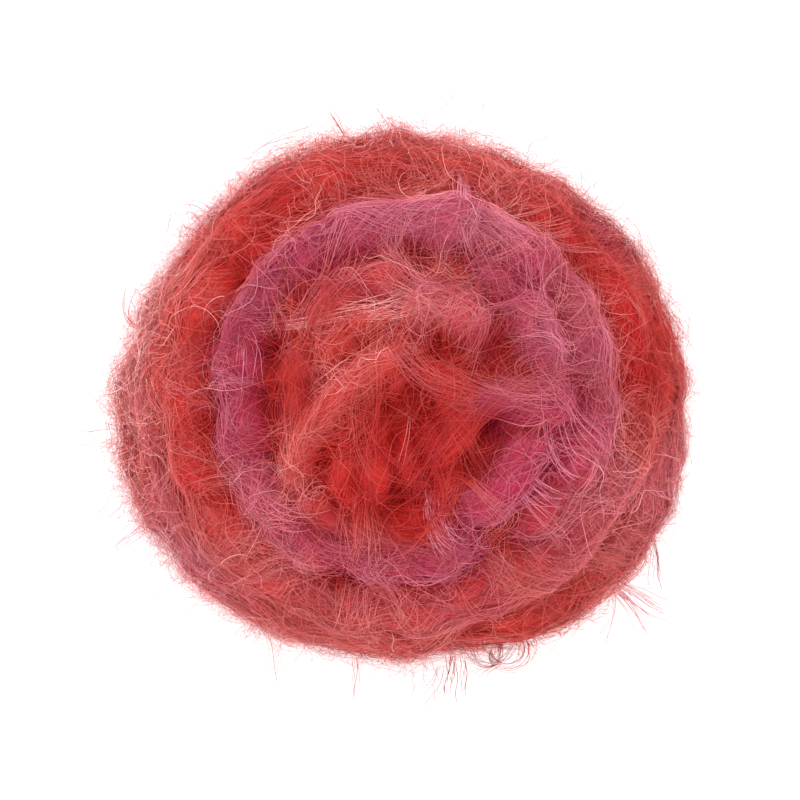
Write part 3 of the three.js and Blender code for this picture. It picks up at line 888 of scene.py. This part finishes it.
def makeFibreKind(name, kind, material):
    points, dye, depth = walk(kind)
    count, steps = dye.shape
    low, high = kind["pale"]
    lock = np.repeat(draw.uniform(low, high, (kind["locks"], 1)), kind["perLock"], axis=0)
    pale = lock * draw.uniform(*paling["own"], (count, 1)) * np.linspace(*paling["alongIt"], steps)
    # pale fibres on the upper end, partly painted light and shade
    frostAndLight = frostAndPaintedLight(points[..., 0], points[..., 1]) * (points[..., 2] > winding["centreHeight"])
    pale = pale * np.clip(1 + paling["frostAndPaintedLight"] * frostAndLight, *paling["frostLimits"])
    if kind["reach"] == "rim":
        pale = pale * haloShare(points - [0, 0, winding["centreHeight"]])
    # painted shade: fibres low in the dips are darkened
    pale = plainPaleness + (1 - plainPaleness) * pale - depth * paling["depth"]
    dye = np.clip(dye + draw.normal(0, paling["ownDye"], (count, 1)), 0, 1)
    perPiece = mostTriangles // (kind["steps"] * 2)
    parts = math.ceil(count / perPiece)
    for i, part in enumerate(np.array_split(np.arange(count), parts)):
        label = name if parts == 1 else name + str(i + 1)
        makeFibres(label, points[part], dye[part], pale[part], kind["width"], material)


hairMaterial = fibreMaterial()
for kindName, kind in fibreKinds.items():
    makeFibreKind(kindName, kind, hairMaterial)


# Hairs and wisps that stand out one by one, as seen from above

strays = {
    "name": "strayHairs", "steps": 18, "width": 0.115,
    "above": 0.7,  # the surface
    "waves": 1.3,  # of a hair's swing, over its length
    "rootShare": 0.4,  # of the height above the surface, before it grows to the tip
    "fanFrom": 40, "fanOver": 8, "fan": 3.5,  # past this far out, hairs spread up and down over their length
    "fanAtRoot": 0.3,
    "ownHeading": 5, "ownBend": 0.12, "ownPhase": 0.4,  # how far one hair differs from its wisp
    "ownLength": (0.7, 1.1), "ownPaleness": (0.8, 1.1),
    "evenings": 4,  # of a hair's heights along it
}
strayRows = [
    # name, x, y, heading, length, bend, swing, hairs, spread, dye, pale
    ("top, left wisp", -10.3, 49.0, 115, 7.5, 25, 6, 9, 0.3, 0.05, 0.10),
    ("top, small wisp", 0.2, 51.4, 150, 6.5, -20, 6, 4, 0.6, 0.70, 0.60),
    ("top fuzz", 3.0, 50.0, 92, 6.0, 30, 25, 14, 3.6, 0.75, 0.80),
    ("top fuzz, right", 11.0, 49.0, 75, 6.5, -30, 25, 16, 3.4, 0.75, 0.85),
    ("top fuzz, low", 17.0, 47.0, 60, 6.0, -40, 25, 10, 3.0, 0.70, 0.80),
    ("bundle down the upper end", 8.6, 50.5, -82, 27.0, 6, 14, 20, 0.7, 0.80, 0.50),
    ("top left arc", -30.2, 43.4, 48, 17.0, -38, 4, 8, 0.6, 0.75, 0.55),
    ("top left arc, short", -27.0, 45.5, 40, 10.0, -30, 8, 5, 0.8, 0.60, 0.90),
    ("top left loop", -43.4, 29.5, 102, 16.0, -190, 6, 9, 0.35, 0.80, 0.45),
    ("top left loop, outer", -44.5, 27.0, 110, 20.0, -170, 10, 4, 1.0, 0.70, 0.90),
    ("left hook", -49.5, 12.0, 135, 9.5, -80, 8, 12, 0.25, 0.20, 0.25),
    ("left hook, low", -54.5, -1.0, 100, 13.0, -120, 8, 14, 0.25, 0.25, 0.30),
    ("left long hair", -54.5, 8.5, -95, 24.0, 45, 12, 10, 0.2, 0.10, 0.10),
    ("left tuft", -53.0, -8.9, 172, 7.0, 30, 20, 12, 2.2, 0.40, 0.85),
    ("left tuft, upper", -53.0, -4.0, 165, 6.0, -50, 20, 8, 1.8, 0.35, 0.85),
    ("lower left tuft", -52.0, -20.0, 212, 6.5, 30, 20, 9, 2.6, 0.70, 0.80),
    ("lower left wisp", -48.8, -26.0, 200, 8.0, 35, 10, 6, 1.6, 0.75, 0.75),
    ("lower left wisp, low", -45.0, -32.0, 225, 7.0, -30, 20, 8, 2.6, 0.55, 0.85),
    ("bottom left long hair", -30.2, -40.6, -48, 20.0, -38, 12, 5, 0.15, 0.20, 0.05),
    ("bottom left fuzz", -22.0, -46.0, -110, 7.0, 30, 20, 9, 3.0, 0.45, 0.85),
    ("bottom hair", -8.2, -49.3, -92, 8.5, 10, 10, 5, 0.7, 0.40, 0.50),
    ("bottom fuzz", 0.0, -50.0, -90, 6.0, 20, 25, 12, 4.0, 0.45, 0.80),
    ("bottom wisp", 7.8, -51.0, -112, 9.0, -20, 10, 10, 0.5, 0.60, 0.30),
    ("red tuft", 10.6, -49.3, -95, 7.0, 10, 15, 16, 1.2, 0.00, 0.05),
    ("red knot", 17.5, -48.0, -105, 20.0, 320, 10, 22, 0.16, 0.00, 0.00),
    ("red knot, tail", 22.3, -47.0, -125, 11.0, -35, 10, 16, 0.18, 0.00, 0.00),
    ("red knot, second loop", 18.5, -46.0, -60, 15.0, -250, 15, 18, 0.18, 0.05, 0.05),
    ("bottom right wisp", 39.5, -34.8, -30, 14.0, 6, 5, 18, 0.7, 0.75, 0.35),
    ("bottom right wisp, lower", 41.0, -36.5, -50, 11.5, -8, 5, 14, 0.5, 0.75, 0.35),
    ("bottom right hair", 40.8, -36.5, -95, 12.0, -8, 6, 8, 0.5, 0.60, 0.55),
    ("right tuft", 48.2, -18.0, 5, 8.0, 40, 15, 12, 0.8, 0.10, 0.10),
    ("right hairs, low", 48.2, -27.0, -88, 10.0, 10, 10, 10, 0.25, 0.05, 0.05),
    ("right hairs", 47.4, 23.0, -55, 19.0, 8, 8, 6, 1.4, 0.60, 0.85),
    ("top right arc", 42.6, 34.0, -38, 13.5, -62, 6, 9, 0.3, 0.95, 0.10),
    ("top right fuzz", 36.0, 38.5, 30, 6.0, 40, 20, 9, 3.0, 0.75, 0.85),
    ("pale hair over the inner coil", -22.0, 12.4, 2, 28.0, 26, 8, 12, 0.6, 0.45, 0.70),
    ("pale hook on the inner coil", -16.9, 14.0, -82, 11.0, 150, 6, 6, 0.5, 0.50, 0.60),
    ("pale hairs by the hook", -10.0, 16.0, -20, 16.0, 60, 15, 8, 1.2, 0.40, 0.60),
    ("straight pale hair in the core", 2.0, -3.7, -93, 13.0, -14, 2, 2, 0.12, 0.50, 0.55),
    ("swirl below the core", 7.0, -17.8, -112, 17.0, 115, 6, 20, 1.3, 0.85, 0.55),
    ("swirl right of the core", 21.0, -14.0, -70, 18.0, 95, 8, 16, 1.6, 0.85, 0.55),
    ("locks on the right", 27.0, -2.0, -100, 16.0, 70, 8, 16, 1.5, 0.80, 0.50),
    ("locks on the lower left", -30.0, -14.0, -60, 18.0, 60, 10, 16, 1.5, 0.80, 0.55),
    ("wisp over the left ring", -32.0, 14.0, -50, 14.0, -50, 10, 12, 1.2, 0.85, 0.60),
]


def makeStrays(material):
    hairs, dyes, pales = [], [], []
    w = strays
    t = np.linspace(0, 1, w["steps"] + 1)
    for _, x, y, heading, length, bend, swing, count, spread, dye, pale in strayRows:
        jitter = draw.normal(0, 1, (count, 5))
        angle = heading + w["ownHeading"] * jitter[:, :1] + bend * (1 + w["ownBend"] * jitter[:, 1:2]) * t
        angle = angle + swing * np.sin(2 * math.pi * w["waves"] * t + w["ownPhase"] * jitter[:, 2:3])
        step = length * draw.uniform(*w["ownLength"], (count, 1)) / w["steps"]
        run = np.cumsum(step * np.exp(1j * np.radians(angle)), axis=1)
        hairs.append(run + (x + spread * jitter[:, 3:4]) + 1j * (y + spread * jitter[:, 4:5]))
        dyes.append(np.full((count, len(t)), dye))
        own = pale * draw.uniform(*w["ownPaleness"], (count, 1))
        pales.append(plainPaleness + (1 - plainPaleness) * own + 0 * t)
    plan = np.concatenate(hairs)
    x, y = plan.real, plan.imag
    d = towards(x, y, lambda d: readMap(ball["draped"], d))
    z = np.sqrt(np.maximum(readMap(ball["draped"], d) ** 2 - x ** 2 - y ** 2, 1))
    for _ in range(w["evenings"]):
        z[:, 1:-1] = (z[:, :-2] + 2 * z[:, 1:-1] + z[:, 2:]) / 4
    outside = np.clip((np.abs(plan) - w["fanFrom"]) / w["fanOver"], 0, 1)
    z += w["fan"] * outside * draw.normal(0, 1, (len(z), 1)) * (w["fanAtRoot"] + t)
    points = np.stack([x, y, z + winding["centreHeight"] + w["above"] * (w["rootShare"] + t)], axis=-1)
    makeFibres(w["name"], points, np.concatenate(dyes), np.concatenate(pales), w["width"], material)


makeStrays(hairMaterial)


# Camera, straight above the upper end, and a soft white studio

camera = {
    "distance": 0.72,  # above the ball's widest place
    "x": 0.0002, "y": -0.0013,  # where the picture's middle is
    "frameWidth": 0.152,  # what the picture spans at the ball's widest place
    "sensor": 36.0,
}


def makeCamera():
    data = bpy.data.cameras.new("camera")
    data.sensor_width = camera["sensor"]
    data.lens = camera["sensor"] * camera["distance"] / camera["frameWidth"]
    eye = bpy.data.objects.new("camera", data)
    eye.location = (camera["x"], camera["y"], camera["distance"] + winding["centreHeight"] * millimetre)
    bpy.context.scene.collection.objects.link(eye)
    bpy.context.scene.camera = eye


studio = {
    "floor": "#fafafa", "floorSize": 6.0,
    "sky": 0.88, "horizon": 3.1,  # the light from above and from the sides
    "keyPower": 11.5, "keySize": 1.2, "keyPlace": (-0.1, 0.2, 1.35),
    "view": "Standard",
}


def paperFloor():
    # white seamless paper: matt, with a faint tooth
    material, tree, shader = newMaterial("seamless paper, matt", Roughness=0.95, Specular_IOR_Level=0.1)
    place = addNode(tree, "ShaderNodeTexCoord").outputs["Object"]
    tooth = addNode(tree, "ShaderNodeTexNoise", Vector=place, Scale=900.0, Detail=2.0)
    shade = colourRamp(tree, tooth.outputs["Fac"], [(0.3, "#f8f8f8"), (0.7, studio["floor"])])
    tree.links.new(shade, shader.inputs["Base Color"])
    return material


def makeStudio():
    half = studio["floorSize"] / 2
    mesh = bpy.data.meshes.new("floor")
    corners = [(-half, -half, 0), (half, -half, 0), (half, half, 0), (-half, half, 0)]
    mesh.from_pydata(corners, [], [(0, 1, 2, 3)])
    mesh.materials.append(paperFloor())
    floor = bpy.data.objects.new("floor", mesh)
    bpy.context.scene.collection.objects.link(floor)
    light = bpy.data.lights.new("key", "AREA")
    light.shape = "DISK"
    light.size = studio["keySize"]
    light.energy = studio["keyPower"]
    key = bpy.data.objects.new("key", light)
    key.location = studio["keyPlace"]
    x, y, z = studio["keyPlace"]
    key.rotation_euler = (math.atan2(math.hypot(x, y), z), 0, math.atan2(y, x) + math.pi / 2)
    bpy.context.scene.collection.objects.link(key)
    world = bpy.data.worlds.new("studio")
    world.use_nodes = True
    tree = world.node_tree
    around = addNode(tree, "ShaderNodeTexCoord").outputs["Generated"]
    upwards = addNode(tree, "ShaderNodeSeparateXYZ", Vector=around)
    strength = addNode(tree, "ShaderNodeMapRange", Value=upwards.outputs["Z"], From_Min=0.0, From_Max=0.8,
                       To_Min=studio["horizon"], To_Max=studio["sky"])
    background = tree.nodes["Background"]
    background.inputs["Color"].default_value = (1, 1, 1, 1)
    tree.links.new(strength.outputs[0], background.inputs["Strength"])
    bpy.context.scene.world = world
    bpy.context.scene.view_settings.view_transform = studio["view"]


makeCamera()
makeStudio()
print("camera and studio ready")
